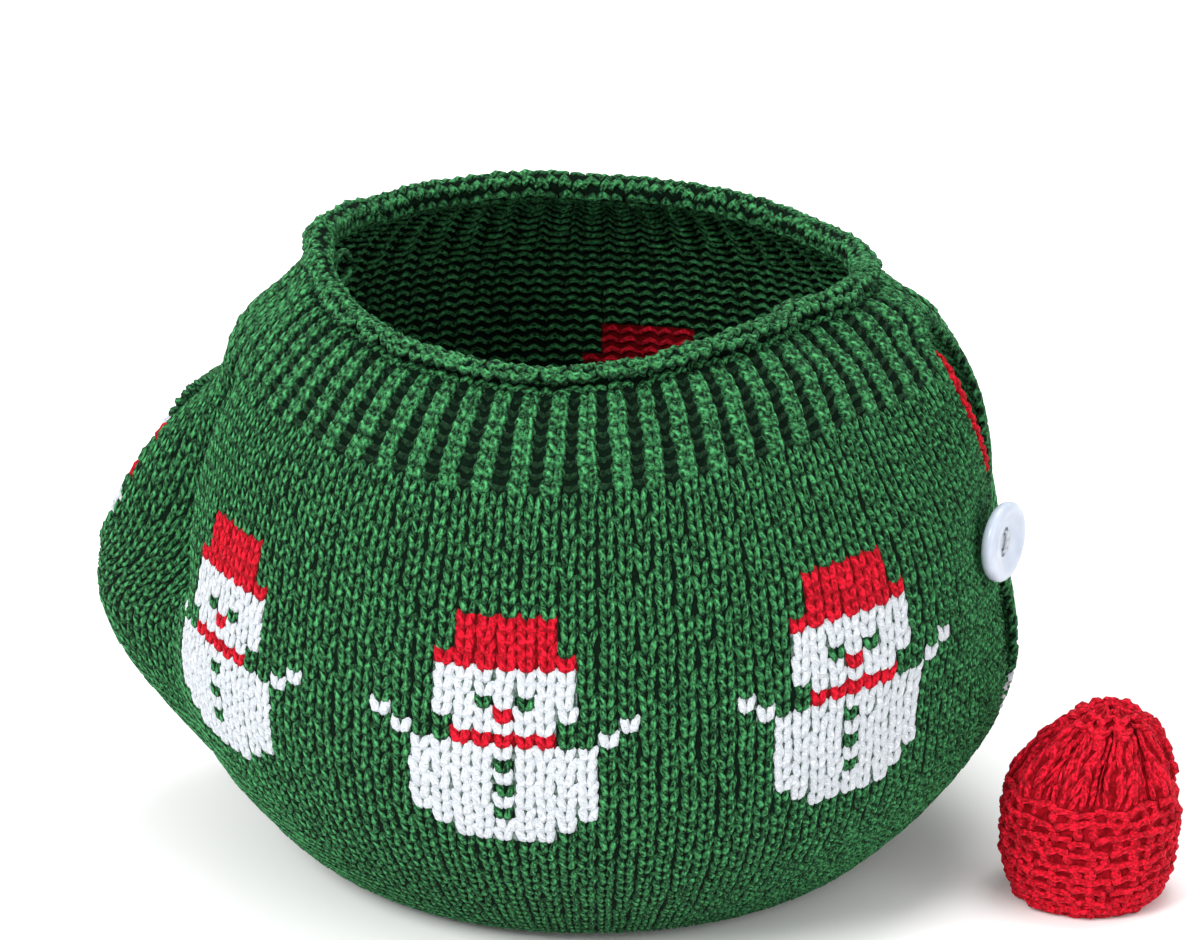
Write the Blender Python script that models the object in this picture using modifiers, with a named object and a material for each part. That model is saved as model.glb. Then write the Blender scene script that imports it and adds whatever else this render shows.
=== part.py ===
"""A knitted tea cosy: two panels sewn at their sides, one button, and a small cover for the lid's knob.

The panels stand on their turned-in hem in the shape that they take round a teapot. Each is a sheet
lofted through the sections below, from the hem up to the rolled neck edge. The knob cover stands on its
own hem beside them. Units are metres, +Z is up, the spout side is -X and the handle side is +X.
"""

import math
from collections import namedtuple

import bmesh
import bpy
from mathutils import Matrix, Vector

MM = 0.001
CLOTH = 2.4 * MM  # thickness of the knitted cloth
SEAM = 0.7 * MM  # space between the two panels where their sides are sewn
RIBS = 33  # raised ribs below the neck edge of each panel
RIB_HEIGHT = 0.8 * MM  # how far a rib stands out from the middle of the cloth
CURL_RADIUS = 2.0 * MM  # of the neck edge, which rolls outwards
CURL_STEPS = 4
HEM_RADII = (52.0 * MM, 55.5 * MM, 58.5 * MM)  # the hem is turned in, flat on the surface
NECK_FROM = 94 * MM  # from here up the wall is drawn to the neck's uneven edge
WAVE = 0.7 * MM  # slack waves in the cloth

# The collar round the spout and the shoulder over the handle, in degrees from their seams.
SPOUT_FULL, SPOUT_END = 7.0, 24.0
HANDLE_FULL, HANDLE_END = 4.0, 26.0

# One row for each level of the wall, in millimetres. The bulges stand out past the radius at the two side
# seams, and a gap is half the width of the opening that the seam leaves there.
Level = namedtuple("Level", "height radius spout_bulge handle_bulge spout_gap handle_gap rib")
LEVELS = [
    Level(3.6, 61.5, 0.0, 0.5, 0.0, 0.0, 0),
    Level(9.0, 67.6, 0.5, 0.5, 0.0, 0.0, 0),
    Level(17.0, 75.0, 2.0, 1.0, 0.0, 0.0, 0),
    Level(26.0, 81.4, 5.5, 1.5, 0.0, 0.0, 0),
    Level(35.0, 85.6, 9.5, 2.0, 0.0, 3.5, 0),
    Level(44.0, 87.8, 13.0, 1.5, 0.0, 8.0, 0),
    Level(52.0, 88.3, 15.0, 0.0, 0.0, 8.5, 0),
    Level(58.0, 88.0, 15.5, -1.0, 5.5, 6.0, 0),
    Level(64.0, 87.5, 15.3, -2.0, 12.0, 0.0, 0),
    Level(71.0, 86.5, 14.6, -2.5, 16.0, 0.0, 0),
    Level(79.0, 85.0, 13.0, -2.0, 17.0, 0.0, 0),
    Level(86.0, 83.2, 9.8, -0.5, 14.5, 1.5, 0),
    Level(92.0, 81.0, 5.0, 1.0, 9.0, 4.0, 0),
    Level(98.0, 78.4, -0.5, 2.5, 0.0, 6.5, 0),
    Level(104.0, 75.2, 0.3, 3.5, 0.0, 7.5, 0),
    Level(109.0, 71.6, -1.0, 4.0, 0.0, 6.0, 0),
    Level(112.0, 69.0, -3.4, 4.0, 0.0, 3.5, 1),
    Level(116.0, 64.8, -4.2, 5.0, 0.0, 0.0, 1),
    Level(119.2, 60.0, -2.4, 3.0, 0.0, 0.0, 1),
    Level(121.0, 56.4, -1.0, 0.0, 0.0, 0.0, 0),
]
FIRST_FINE = 8  # from this level up a row has two columns for each rib

# The neck's edge, by its bearing in degrees from the spout seam round the front: how far it rises over the
# last level and how far it is drawn in, in millimetres. It stands up in a corner at the spout seam.
RimPoint = namedtuple("RimPoint", "bearing rise drawn_in")
NECK_RIM = [
    RimPoint(0, 8.0, 0.0),
    RimPoint(12, 6.0, 0.8),
    RimPoint(25, 3.0, 2.2),
    RimPoint(41, 1.6, 2.2),
    RimPoint(62, 0.5, 1.0),
    RimPoint(90, 0.0, 0.0),
    RimPoint(108, 1.5, 0.5),
    RimPoint(124, 3.8, 1.8),
    RimPoint(139, 5.2, 2.4),
    RimPoint(154, 5.4, 2.4),
    RimPoint(168, 5.0, 1.0),
    RimPoint(180, 4.5, 0.0),
    RimPoint(200, 1.2, 0.0),
    RimPoint(225, -0.6, 0.0),
    RimPoint(270, 0.6, 0.0),
    RimPoint(300, 2.4, 0.0),
    RimPoint(330, 3.5, 0.0),
    RimPoint(346, 6.0, 0.0),
    RimPoint(360, 8.0, 0.0),
]

# The main creases are soft troughs from one point of the wall to another. Bearings are as for the neck's
# edge, heights, depths and widths are in millimetres.
Crease = namedtuple("Crease", "start_bearing start_height end_bearing end_height depth width")
CREASES = [
    Crease(16.0, 100.0, 24.0, 66.0, 4.0, 5.5),  # in front, beside the collar round the spout
    Crease(344.0, 100.0, 336.0, 66.0, 3.0, 5.5),  # the same behind
    Crease(150.0, 119.0, 175.0, 113.5, 2.8, 4.0),  # under the fold of cloth over the handle
]

# The knob cover, from its turned-in hem to the gathered tip. It leans as it goes up.
CapLevel = namedtuple("CapLevel", "height radius lean gather")
CAP_LEVELS = [
    CapLevel(3.2, 15.4, 0.0, 0.0),
    CapLevel(7.5, 16.9, 0.0, 0.0),
    CapLevel(13.0, 17.6, 0.0, 0.0),
    CapLevel(19.0, 17.7, 0.2, 0.0),
    CapLevel(24.5, 16.4, 0.4, 0.02),
    CapLevel(29.5, 14.1, 1.3, 0.05),
    CapLevel(34.0, 11.2, 2.6, 0.08),
    CapLevel(38.0, 7.8, 3.7, 0.11),
    CapLevel(40.6, 4.4, 4.2, 0.12),
]
CAP_TIP_HEIGHT = 41.0 * MM
CAP_HEM_RADII = (11.0 * MM, 13.0 * MM, 14.4 * MM)
CAP_GATHERS = 9
CAP_COLUMNS = 4 * CAP_GATHERS
CAP_FROM_AXIS = (108.5 * MM, -16.0 * MM)  # where it stands, from the cosy's own axis
CAP_LEAN_TOWARDS = math.radians(11.5)

BUTTON_RADIUS = 8.5 * MM
BUTTON_THICKNESS = 3.2 * MM
BUTTON_RIM = 1.6 * MM
BUTTON_DISH = 0.8 * MM  # how far the middle lies below the rim
BUTTON_HOLE_RADIUS = 0.9 * MM
BUTTON_HOLE_SPACING = 3.8 * MM
BUTTON_SEGMENTS = 32
BUTTON_HEIGHT = 75.8 * MM
BUTTON_BEARING = math.radians(82.8)  # from the middle of the front panel towards the handle
BUTTON_TURN = math.radians(-12.0)  # it hangs turned a little towards the front
BUTTON_STAND_OFF = 1.95 * MM  # from the cloth to the middle of its back

# The cosy and the knob cover together are centred on the origin.
COSY_LEFT = (LEVELS[7].radius + LEVELS[7].spout_bulge) * MM + CLOTH / 2
CAP_RIGHT = CAP_FROM_AXIS[0] + CAP_LEVELS[3].radius * MM + CLOTH / 2
AXIS_X = (COSY_LEFT - CAP_RIGHT) / 2


def clear_scene():
    for old in list(bpy.data.objects):
        bpy.data.objects.remove(old, do_unlink=True)


def new_collection(name):
    collection = bpy.data.collections.new(name)
    bpy.context.scene.collection.children.link(collection)
    return collection


def finish(name, colour, roughness):
    material = bpy.data.materials.new(name)
    material.use_nodes = True
    shader = material.node_tree.nodes["Principled BSDF"]
    shader.inputs["Base Color"].default_value = (*colour, 1.0)
    shader.inputs["Roughness"].default_value = roughness
    shader.inputs["Metallic"].default_value = 0.0
    return material


def ease(t):
    t = min(max(t, 0.0), 1.0)
    return t * t * (3 - 2 * t)


def around(centre_x, centre_y, radius, angle, height):
    """A point at an angle from the -X direction."""
    return Vector((centre_x - radius * math.cos(angle), centre_y + radius * math.sin(angle), height))


def wall_radius(level, angle):
    """Radius of the cloth's middle at a level. The angle is from the spout seam, negative at the front."""
    from_spout = math.degrees(abs(angle))
    from_handle = 180.0 - from_spout
    spout = 1 - ease((from_spout - SPOUT_FULL) / (SPOUT_END - SPOUT_FULL))
    handle = 1 - ease((from_handle - HANDLE_FULL) / (HANDLE_END - HANDLE_FULL))
    calm = ease((level.height - 3.6) / 20) * ease((120 - level.height) / 20)
    wave = WAVE * calm * math.sin(3 * angle + 0.7) * math.sin(math.pi * level.height / 58 + 0.4)
    return (level.radius + level.spout_bulge * spout + level.handle_bulge * handle) * MM + wave


def front_bearing(angle):
    """Degrees from the spout seam round the front, for an angle that is negative at the front."""
    return math.degrees(-angle) % 360.0


def neck_edge(angle):
    """The edge's rise and how far it is drawn in, in metres."""
    bearing = front_bearing(angle)
    for low, high in zip(NECK_RIM, NECK_RIM[1:]):
        if bearing <= high.bearing:
            share = ease((bearing - low.bearing) / (high.bearing - low.bearing))
            rise = low.rise + (high.rise - low.rise) * share
            drawn_in = low.drawn_in + (high.drawn_in - low.drawn_in) * share
            return rise * MM, drawn_in * MM


def crease_depth(level, angle):
    """How deep the creases press the wall in there, in metres."""
    per_degree = math.radians(level.radius)
    place = Vector((front_bearing(angle) * per_degree, level.height))
    depth = 0.0
    for crease in CREASES:
        start = Vector((crease.start_bearing * per_degree, crease.start_height))
        end = Vector((crease.end_bearing * per_degree, crease.end_height))
        along = min(max((place - start).dot(end - start) / (end - start).length_squared, 0.0), 1.0)
        distance = (place - start.lerp(end, along)).length
        depth += crease.depth * math.exp(-((distance / crease.width) ** 2))
    return depth * MM


def side_angles(level):
    """The angles from the spout seam at which a panel begins and ends."""
    spout_radius = (level.radius + level.spout_bulge) * MM
    handle_radius = (level.radius + level.handle_bulge) * MM
    begin = math.asin((level.spout_gap * MM + SEAM / 2) / spout_radius)
    end = math.pi - math.asin((level.handle_gap * MM + SEAM / 2) / handle_radius)
    return begin, end


def wall_row(level, side, columns):
    """Points along one level of a panel, from the spout seam to the handle seam. The front's side is -1."""
    begin, end = side_angles(level)
    per_rib = columns // RIBS
    to_neck = ease((level.height * MM - NECK_FROM) / (LEVELS[-1].height * MM - NECK_FROM))
    row = []
    for column in range(columns + 1):
        angle = side * (begin + (end - begin) * column / columns)
        rise, drawn_in = neck_edge(angle)
        radius = wall_radius(level, angle) - crease_depth(level, angle) - drawn_in * to_neck
        if level.rib:
            at_side = column in (0, columns)
            radius += RIB_HEIGHT * (1 if at_side or column % per_rib else -1)
        row.append(around(AXIS_X, 0.0, radius, angle, level.height * MM + rise * to_neck))
    return row


def hem_row(radius, side, columns):
    half_seam = math.asin(SEAM / 2 / radius)
    row = []
    for column in range(columns + 1):
        angle = side * (half_seam + (math.pi - 2 * half_seam) * column / columns)
        row.append(around(AXIS_X, 0.0, radius, angle, CLOTH / 2))
    return row


def curl_rows(below, top):
    """The neck edge rolls outwards from the wall's last row, over half a turn."""
    rows = []
    for step in range(1, CURL_STEPS + 1):
        turn = math.pi * step / CURL_STEPS
        row = []
        for low, high in zip(below, top):
            outwards = Vector((high.x - AXIS_X, high.y, 0.0)).normalized()
            climb = (high - low).dot(outwards), high.z - low.z
            length = math.hypot(*climb)
            along = (outwards * climb[0] + Vector((0, 0, climb[1]))) / length
            across = (outwards * climb[1] - Vector((0, 0, climb[0]))) / length
            row.append(high + CURL_RADIUS * (along * math.sin(turn) + across * (1 - math.cos(turn))))
        rows.append(row)
    return rows


def bridge(bm, lower, upper, flip):
    """Faces between two rows. The upper row may have twice the columns of the lower one."""
    faces = []
    if len(lower) == len(upper):
        for k in range(len(lower) - 1):
            faces.append((lower[k], lower[k + 1], upper[k + 1], upper[k]))
    else:
        for k in range(len(lower) - 1):
            left, middle, right = upper[2 * k : 2 * k + 3]
            faces.append((lower[k], middle, left))
            faces.append((lower[k], lower[k + 1], middle))
            faces.append((lower[k + 1], right, middle))
    for face in faces:
        bm.faces.new(reversed(face) if flip else face)


def sheet_object(name, bm, collection, material):
    """An open sheet that is given the cloth's thickness, half on each side."""
    mesh = bpy.data.meshes.new(name)
    bm.to_mesh(mesh)
    bm.free()
    mesh.shade_smooth()
    mesh.set_sharp_from_angle(angle=math.radians(50))
    mesh.materials.append(material)
    sheet = bpy.data.objects.new(name, mesh)
    collection.objects.link(sheet)
    thicken = sheet.modifiers.new("cloth", "SOLIDIFY")
    thicken.thickness = CLOTH
    thicken.offset = 0.0
    return sheet


def panel(name, side, collection, material):
    rows = [hem_row(radius, side, RIBS) for radius in HEM_RADII]
    for index, level in enumerate(LEVELS):
        columns = RIBS if index < FIRST_FINE else 2 * RIBS
        rows.append(wall_row(level, side, columns))
    smooth_below = wall_row(LEVELS[-2]._replace(rib=0), side, 2 * RIBS)
    rows += curl_rows(smooth_below, rows[-1])
    bm = bmesh.new()
    made = [[bm.verts.new(point) for point in row] for row in rows]
    for lower, upper in zip(made, made[1:]):
        bridge(bm, lower, upper, flip=side > 0)
    return sheet_object(name, bm, collection, material)


def cap_row(level, columns):
    lean = level.lean * MM
    centre_x = AXIS_X + CAP_FROM_AXIS[0] + lean * math.cos(CAP_LEAN_TOWARDS)
    centre_y = CAP_FROM_AXIS[1] + lean * math.sin(CAP_LEAN_TOWARDS)
    row = []
    for column in range(columns):
        angle = -2 * math.pi * column / columns
        radius = level.radius * MM * (1 + level.gather * math.cos(CAP_GATHERS * angle))
        row.append(around(centre_x, centre_y, radius, angle, level.height * MM))
    return row


def knob_cover(collection, material):
    hem = [CapLevel(CLOTH / 2 / MM, radius / MM, 0.0, 0.0) for radius in CAP_HEM_RADII]
    bm = bmesh.new()
    made = []
    for level in hem + CAP_LEVELS:
        row = [bm.verts.new(point) for point in cap_row(level, CAP_COLUMNS)]
        made.append(row + row[:1])
    for lower, upper in zip(made, made[1:]):
        bridge(bm, lower, upper, flip=False)
    tip_level = CapLevel(CAP_TIP_HEIGHT / MM, 0.0, CAP_LEVELS[-1].lean, 0.0)
    tip = bm.verts.new(cap_row(tip_level, 1)[0])
    for left, right in zip(made[-1], made[-1][1:]):
        bm.faces.new((left, right, tip))
    return sheet_object("knob_cover", bm, collection, material)


def button_profile():
    """Half of the button's section: the outer side first, from the top down, then the back, and the face last."""
    edge = BUTTON_RADIUS
    top = BUTTON_THICKNESS
    round_off = 0.6 * MM
    dish = top - BUTTON_DISH
    return [
        (0.0, dish),
        (edge - BUTTON_RIM - 1.0 * MM, dish),
        (edge - BUTTON_RIM, top),
        (edge - round_off, top),
        (edge, top - round_off),
        (edge, round_off),
        (edge - round_off, 0.0),
        (0.0, 0.0),
    ]


def button_hole(collection, across, place):
    bpy.ops.mesh.primitive_cylinder_add(vertices=12, radius=BUTTON_HOLE_RADIUS, depth=4 * BUTTON_THICKNESS)
    cutter = bpy.context.object
    cutter.name = "hole_cutter"
    for other in cutter.users_collection:
        other.objects.unlink(cutter)
    collection.objects.link(cutter)
    cutter.matrix_world = place @ Matrix.Translation((0.0, across, 0.0))
    cutter.hide_render = True
    cutter.display_type = "WIRE"
    return cutter


def button_place():
    """The middle of the button's back lies off the cloth, and its axis leaves the cosy."""
    level = LEVELS[9]._replace(height=BUTTON_HEIGHT / MM)
    angle = -(math.pi / 2 + BUTTON_BEARING)
    radius = wall_radius(level, angle) + CLOTH / 2 + BUTTON_STAND_OFF
    point = around(AXIS_X, 0.0, radius, angle, BUTTON_HEIGHT)
    facing = BUTTON_BEARING + BUTTON_TURN
    turn = Matrix.Rotation(facing, 4, "Z") @ Matrix.Rotation(math.radians(90), 4, "X")
    return Matrix.Translation(point) @ turn


def button(collection, cutters, material):
    bm = bmesh.new()
    points = [bm.verts.new((radius, 0.0, height)) for radius, height in button_profile()]
    for start, end in zip(points, points[1:]):
        bm.edges.new((start, end))
    mesh = bpy.data.meshes.new("button")
    bm.to_mesh(mesh)
    bm.free()
    mesh.materials.append(material)
    made = bpy.data.objects.new("button", mesh)
    collection.objects.link(made)
    place = button_place()
    made.matrix_world = place
    turned = made.modifiers.new("turned", "SCREW")
    turned.steps = BUTTON_SEGMENTS
    turned.render_steps = BUTTON_SEGMENTS
    turned.use_merge_vertices = True
    turned.merge_threshold = 0.00001
    for across in (-BUTTON_HOLE_SPACING / 2, BUTTON_HOLE_SPACING / 2):
        hole = made.modifiers.new("thread_hole", "BOOLEAN")
        hole.operation = "DIFFERENCE"
        hole.object = button_hole(cutters, across, place)
    return made


def build():
    clear_scene()
    cosy = new_collection("tea_cosy")
    cutters = new_collection("cutters")
    green = finish("green_knit", (0.020, 0.130, 0.045), 0.9)
    red = finish("red_knit", (0.600, 0.008, 0.020), 0.9)
    white = finish("button_white", (0.800, 0.810, 0.850), 0.35)
    panel("front_panel", -1, cosy, green)
    panel("back_panel", 1, cosy, green)
    knob_cover(cosy, red)
    button(cosy, cutters, white)


build()
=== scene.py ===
import math

import bmesh
import bpy
import numpy as np
from mathutils import Matrix, Vector


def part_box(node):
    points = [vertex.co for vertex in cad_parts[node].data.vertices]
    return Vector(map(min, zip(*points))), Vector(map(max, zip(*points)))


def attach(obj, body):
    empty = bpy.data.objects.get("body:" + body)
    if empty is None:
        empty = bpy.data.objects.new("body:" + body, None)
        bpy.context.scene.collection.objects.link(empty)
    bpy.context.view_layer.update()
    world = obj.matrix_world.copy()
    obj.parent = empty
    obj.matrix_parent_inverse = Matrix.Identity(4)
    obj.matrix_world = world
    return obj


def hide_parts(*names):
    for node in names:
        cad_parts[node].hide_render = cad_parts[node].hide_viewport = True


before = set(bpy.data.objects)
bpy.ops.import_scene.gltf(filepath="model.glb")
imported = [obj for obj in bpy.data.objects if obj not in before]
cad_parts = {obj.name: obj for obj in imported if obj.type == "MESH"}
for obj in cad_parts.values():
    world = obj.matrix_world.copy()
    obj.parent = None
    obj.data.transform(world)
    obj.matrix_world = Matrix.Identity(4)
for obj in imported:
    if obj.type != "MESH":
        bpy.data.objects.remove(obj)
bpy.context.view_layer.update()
mm = 0.001

# The cloth's shape in millimetres and degrees, as the solids have it
clothShape = {
    "axisX": -11.35,  # of the cosy, from the origin
    "hemRadii": (52.0, 54.0, 56.0, 58.0),  # turned in and flat
    "hemHeight": 1.2,
    "seam": 0.3,  # between the panels
    "spoutFull": 7.0,
    "spoutEnd": 24.0,
    "handleFull": 4.0,
    "handleEnd": 26.0,
    "neckFrom": 94.0,
    "wave": 0.7,
    "waveHeights": (3.6, 23.6, 100.0, 120.0),  # where it begins, is full, fades and ends
    "curlRadius": 2.2,
    "curlTurn": 205.0,
    "gapReach": 0.42,  # share of the panel over which the stitches give way to an opening
    # height, radius, spout bulge, handle bulge, half the spout gap, half the handle gap
    "levels": (
        (3.6, 61.5, 0.0, 0.5, 0.0, 0.0),
        (9.0, 67.6, 0.5, 0.5, 0.0, 0.0),
        (17.0, 75.0, 2.0, 1.0, 0.0, 0.0),
        (26.0, 81.4, 5.5, 1.5, 0.0, 0.0),
        (35.0, 85.6, 9.5, 2.0, 0.0, 3.5),
        (44.0, 87.8, 13.0, 1.5, 0.0, 8.0),
        (52.0, 88.3, 15.0, 0.0, 0.0, 8.5),
        (58.0, 88.0, 15.5, -1.0, 5.5, 6.0),
        (64.0, 87.5, 15.3, -2.0, 12.0, 0.0),
        (71.0, 86.5, 14.6, -2.5, 16.0, 0.0),
        (79.0, 85.0, 13.0, -2.0, 17.0, 0.0),
        (86.0, 83.2, 9.8, -0.5, 14.5, 1.5),
        (92.0, 81.0, 5.0, 1.0, 9.0, 4.0),
        (98.0, 78.4, -0.5, 2.5, 0.0, 6.5),
        (104.0, 75.2, 0.3, 3.5, 0.0, 7.5),
        (109.0, 71.6, -1.0, 4.0, 0.0, 6.0),
        (112.0, 69.0, -3.4, 4.0, 0.0, 3.5),
        (116.0, 64.8, -4.2, 5.0, 0.0, 0.0),
        (119.2, 60.0, -2.4, 3.0, 0.0, 0.0),
        (121.0, 56.4, -1.0, 0.0, 0.0, 0.0),
    ),
    # bearing from the spout seam round the front, rise, drawn in
    "neckRim": (
        (0, 8.0, 0.0),
        (12, 6.0, 0.8),
        (25, 3.0, 2.2),
        (41, 1.6, 2.2),
        (62, 0.5, 1.0),
        (90, 0.0, 0.0),
        (108, 1.5, 0.5),
        (124, 3.8, 1.8),
        (139, 5.2, 2.4),
        (154, 5.4, 2.4),
        (168, 5.0, 1.0),
        (180, 4.5, 0.0),
        (200, 1.2, 0.0),
        (225, -0.6, 0.0),
        (270, 0.6, 0.0),
        (300, 2.4, 0.0),
        (330, 3.5, 0.0),
        (346, 6.0, 0.0),
        (360, 8.0, 0.0),
    ),
    # bearing and height of both ends, depth, width
    "creases": (
        (16.0, 100.0, 24.0, 66.0, 4.0, 5.5),
        (344.0, 100.0, 336.0, 66.0, 3.0, 5.5),
        (150.0, 119.0, 175.0, 113.5, 3.2, 3.8),
    ),
}

knitting = {
    "columns": 65,  # stitches across a panel
    "rows": 58,  # from the inner edge of the hem to the end of the rolled neck
    "motifRow": 19,  # the lowest row of the figures
    "motifColumns": (9, 26, 44),  # where each figure begins
    # column, how far it is pulled aside
    "nudge": ((0, 0.0), (15, -0.5), (32, 0.0), (50, -0.6), (65, 0.0)),
    "ribFirst": 46,  # knit one, purl one
    "ribLast": 53,
    "ribRows": (44.5, 47.5, 53.0, 54.2),  # where they begin, are full, fade and end
    "ribHeight": 0.5,
    "ribDepth": 1.1,
    # column, how far the rows climb there and how much each is stretched, in millimetres: the
    # cloth sags in its middle and is pulled up beside the spout and the handle
    "lift": ((0, 1.0, 0.0), (14, 0.6, 0.0), (32, -1.3, 0.0), (50, 0.6, 0.0), (65, 1.0, 0.0)),
    "liftMiddle": 28,
    "liftRows": (1, 21, 39, 57),
    "lump": 0.10,  # hand-knitted unevenness
    "lumpRows": (4, 10, 45, 53),
    "margin": 1.5,  # stitches of guide beyond each edge
    "wobble": 0.075,
    "seed": 11,
}

# One figure from the hat down: r red, w white, and a dot where the ground shows
snowFigure = (
    "....rrrrr....",
    "....rrrrr....",
    "....rrrrr....",
    "...rrrrrrr...",
    "...wwwwwww...",
    "...wwwwwww...",
    "...ww.w.ww...",
    "...wwwrwww...",
    "w...wwwww...w",
    ".w..rrrrr..w.",
    "..wwwwwwwww..",
    "..wwww.wwww..",
    "..wwwwwwwww..",
    "..wwww.wwww..",
    "..wwwwwwwww..",
    "..wwww.wwww..",
    "...wwwwwww...",
    "....wwwww....",
)
yarnNumber = {".": 0, "r": 1, "w": 2}


def easeBetween(value, begin, end):
    t = np.clip((value - begin) / (end - begin), 0.0, 1.0)
    return t * t * (3 - 2 * t)


def within(value, begin, full, fade, end):
    return easeBetween(value, begin, full) * easeBetween(value, end, fade)


def curveThrough(rows, column):
    heights = np.array([row[0] for row in rows])
    values = np.array([row[column] for row in rows])
    slopes = np.gradient(values, heights)

    def at(height):
        k = np.clip(np.searchsorted(heights, height) - 1, 0, len(heights) - 2)
        span = heights[k + 1] - heights[k]
        t = np.clip((height - heights[k]) / span, 0.0, 1.0)
        return (
            (2 * t**3 - 3 * t**2 + 1) * values[k]
            + (t**3 - 2 * t**2 + t) * span * slopes[k]
            + (3 * t**2 - 2 * t**3) * values[k + 1]
            + (t**3 - t**2) * span * slopes[k + 1]
        )

    return at


def stepThrough(rows, column, place):
    # eases from each row's value to the next
    places = np.array([row[0] for row in rows], dtype=float)
    values = np.array([row[column] for row in rows], dtype=float)
    k = np.clip(np.searchsorted(places, place) - 1, 0, len(places) - 2)
    return values[k] + (values[k + 1] - values[k]) * easeBetween(place, places[k], places[k + 1])


def unitVectors(vectors):
    return vectors / np.maximum(np.linalg.norm(vectors, axis=-1, keepdims=True), 1e-9)


def lengthAlong(points, axis=0):
    # how far each point lies along its line
    steps = np.linalg.norm(np.diff(points, axis=axis), axis=-1)
    return np.insert(np.cumsum(steps, axis=axis), 0, 0.0, axis=axis)


def pointsAt(places, lengths, line):
    return np.stack([np.interp(places, lengths, line[:, k]) for k in range(3)], axis=1)


def creaseDepth(bearing, height, radius):
    depth = np.zeros(np.broadcast(bearing, height).shape)
    perDegree = np.radians(radius)
    for startBearing, startHeight, endBearing, endHeight, deep, wide in clothShape["creases"]:
        runX, runZ = (endBearing - startBearing) * perDegree, endHeight - startHeight
        fromX, fromZ = (bearing - startBearing) * perDegree, height - startHeight
        along = np.clip((fromX * runX + fromZ * runZ) / (runX**2 + runZ**2), 0, 1)
        distance = np.hypot(fromX - along * runX, fromZ - along * runZ)
        depth += deep * np.exp(-((distance / wide) ** 2))
    return depth


def pointsRound(side, reach, angle, height):
    # points round the cosy's axis, at angles from the spout seam
    x = clothShape["axisX"] - reach * np.cos(angle)
    return np.stack([x, side * reach * np.sin(angle), np.broadcast_to(height, x.shape)], axis=2)


def wallPoints(side, angle, z):
    # one column of the array for each level
    shape = clothShape
    levels = shape["levels"]
    radius, spoutBulge, handleBulge = (curveThrough(levels, k)(z) for k in range(1, 4))
    degrees = np.degrees(angle)
    bearing = degrees if side < 0 else 360 - degrees
    spout = 1 - easeBetween(degrees, shape["spoutFull"], shape["spoutEnd"])
    handle = 1 - easeBetween(180 - degrees, shape["handleFull"], shape["handleEnd"])
    calm = within(z, *shape["waveHeights"])
    wave = shape["wave"] * calm * np.sin(3 * side * angle + 0.7) * np.sin(np.pi * z / 58 + 0.4)
    toNeck = easeBetween(z, shape["neckFrom"], levels[-1][0])
    rise, drawnIn = (stepThrough(shape["neckRim"], k, bearing) for k in (1, 2))
    reach = radius + spoutBulge * spout + handleBulge * handle + wave - drawnIn * toNeck
    reach = reach - creaseDepth(bearing, z, radius)
    return pointsRound(side, reach, angle, z + rise * toNeck)


def clothLines(side, columns):
    # a line up the cloth's middle for each column, from the hem's inner edge to the roll's end
    shape = clothShape
    levels = shape["levels"]
    pulled = columns + stepThrough(knitting["nudge"], 1, columns)
    share = pulled[:, None] / knitting["columns"]
    z = np.linspace(levels[0][0], levels[-1][0], 150)
    radius, *bulgesAndGaps = (curveThrough(levels, k)(z) for k in range(1, 6))
    halfSeam = shape["seam"] / 2
    closed, opened = [], []
    for bulge, gap in zip(bulgesAndGaps[:2], bulgesAndGaps[2:]):
        closed.append(np.arcsin(halfSeam / (radius + bulge)))
        edge = np.arcsin((np.maximum(gap, 0) + halfSeam) / (radius + bulge))
        opened.append(edge - closed[-1])
    # the stitches are about equally wide round the closed wall, and give way to the openings
    span = np.pi - closed[0] - closed[1]
    evenShare = np.linspace(0, 1, 241)[:, None]
    lengths = lengthAlong(wallPoints(side, closed[0] + span * evenShare, z))
    lengths = (lengths / lengths[-1]).mean(axis=1)
    angle = closed[0] + span * np.interp(share, lengths, evenShare[:, 0])
    for opening, away in ((opened[0], share), (-opened[1], 1 - share)):
        angle = angle + opening * np.clip(1 - away / shape["gapReach"], 0, 1) ** 2
    wall = wallPoints(side, angle, z)

    hemRadii = np.array(shape["hemRadii"])
    begin = np.arcsin(halfSeam / hemRadii)
    hem = pointsRound(side, hemRadii, begin + (np.pi - 2 * begin) * share, shape["hemHeight"])

    # the neck edge rolls outwards from the last level
    last = wall[:, -1]
    outward = unitVectors(last * (1, 1, 0) - (shape["axisX"], 0, 0))
    up = np.array((0.0, 0.0, 1.0))
    climb = last - wall[:, -8]
    climbOut, climbUp = (climb * outward).sum(axis=1, keepdims=True), climb[:, 2:]
    along = unitVectors(outward * climbOut + up * climbUp)
    across = unitVectors(outward * climbUp - up * climbOut)
    turns = np.radians(np.linspace(0, shape["curlTurn"], 16)[1:])[None, :, None]
    roll = along[:, None] * np.sin(turns) + across[:, None] * (1 - np.cos(turns))
    lines = np.concatenate([hem, wall, last[:, None] + shape["curlRadius"] * roll], axis=1)
    for _ in range(4):  # rounds the hem's fold
        lines[:, 1:9] = (lines[:, 0:8] + 2 * lines[:, 1:9] + lines[:, 2:10]) / 4
    return lines


def extended(grid, count, axis):
    # carries a grid on in a straight line past its edges
    grid = np.moveaxis(grid, axis, 0)
    first = [grid[0] + (grid[0] - grid[1]) * k for k in range(count, 0, -1)]
    last = [grid[-1] + (grid[-1] - grid[-2]) * k for k in range(1, count + 1)]
    return np.moveaxis(np.concatenate([first, grid, last], axis=0), 0, axis)


def gridNormals(grid, side):
    return unitVectors(np.cross(np.gradient(grid, axis=0), np.gradient(grid, axis=1)) * -side)


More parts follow.
